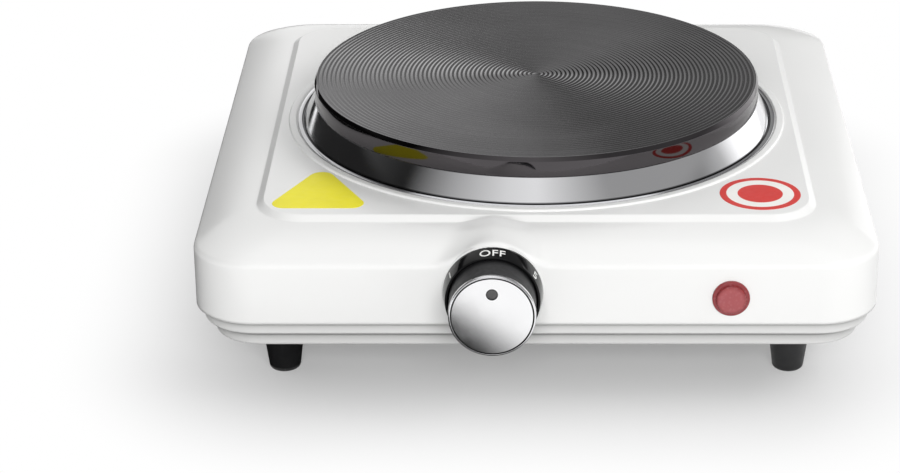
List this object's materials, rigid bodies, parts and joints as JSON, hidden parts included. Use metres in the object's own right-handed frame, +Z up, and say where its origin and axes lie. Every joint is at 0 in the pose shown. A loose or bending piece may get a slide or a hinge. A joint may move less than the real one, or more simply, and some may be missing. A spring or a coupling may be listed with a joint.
{
  "type": "hot plate burner",
  "caption": "Portable electric hot plate: cast plate with trim ring on a white pressed-steel body, front control knob, dial collar and pilot lamp, on short rubber feet.",
  "frame": {"origin": "centre of the bounding box on the table plane, under the feet", "axes": "+Z up; +Y from the control knob at the front to the cord entry at the rear; +X to the right seen from the knob side"},
  "size_m": [0.221, 0.2444, 0.07],
  "materials": {
    "white_enamel": "gloss white baked enamel on steel sheet",
    "pan_paint": "semi-gloss white paint on steel sheet",
    "cast_iron": "turned grooves, heat-proof dark coating",
    "trim_steel": "polished stainless",
    "plain_steel": "bright zinc-plated steel",
    "spring_steel": "rolled spring strip",
    "chrome_plate": "chrome plate",
    "brass": "turned brass",
    "ceramic": "unglazed steatite",
    "cement": "magnesia filling",
    "heater_wire": "nickel-chromium winding",
    "black_rubber": "moulded rubber",
    "black_gloss": "gloss black moulding",
    "black_matte": "black moulding",
    "lamp_red": "translucent red polycarbonate",
    "white_plastic": "white nylon",
    "lamp_glass": "clear glass",
    "wire_jacket": "fibre-glass and silicone sleeving"
  },
  "bodies": {
    "casing": {"top_housing": "white_enamel", "base_pan": "pan_paint", "foot_front_left": "black_rubber", "foot_front_right": "black_rubber", "foot_rear_left": "black_rubber", "foot_rear_right": "black_rubber", "foot_screws": "plain_steel", "corner_brackets": "plain_steel", "pan_screws": "plain_steel", "hot_plate": "cast_iron", "coil_cement": "cement", "heating_coil": "heater_wire", "trim_ring": "trim_steel", "plate_cover": "plain_steel", "coil_pins": "plain_steel", "terminal_insulator": "ceramic", "plate_tabs": "plain_steel", "center_stud": "plain_steel", "cover_nut": "plain_steel", "heat_shield": "plain_steel", "shield_nut": "plain_steel", "clamp_strap": "plain_steel", "spring_washer": "spring_steel", "clamp_nut": "plain_steel", "thermostat_frame": "plain_steel", "thermostat_bush": "brass", "thermostat_screws": "plain_steel", "thermostat_stack": "ceramic", "stack_bolt": "plain_steel", "contact_blades": "spring_steel", "bimetal_strip": "spring_steel", "contact_buttons": "brass", "dial_bezel": "black_gloss", "lamp_lens": "lamp_red", "neon_bulb": "lamp_glass", "lamp_holder": "white_plastic", "lamp_clip": "plain_steel", "cord_bushing": "black_rubber", "terminal_block": "ceramic", "block_sleeves": "brass", "block_screws": "plain_steel", "earth_screw": "plain_steel", "lead_supply": "wire_jacket", "lead_load": "wire_jacket", "lead_neutral": "wire_jacket", "lead_earth": "wire_jacket", "lead_lamp_left": "wire_jacket", "lead_lamp_right": "wire_jacket"},
    "knob": {"knob_body": "black_matte", "knob_cap": "chrome_plate", "pointer_dot": "black_matte", "thermostat_shaft": "plain_steel", "thermostat_pin": "ceramic", "shaft_clip": "plain_steel"}
  },
  "joints": [
    {"name": "knob_turn", "type": "hinge", "parent": "casing", "child": "knob", "pos_m": [-0.0138, -0.10425, 0.038], "axis": [0, -1, 0], "range_deg": [0, 300]}
  ]
}
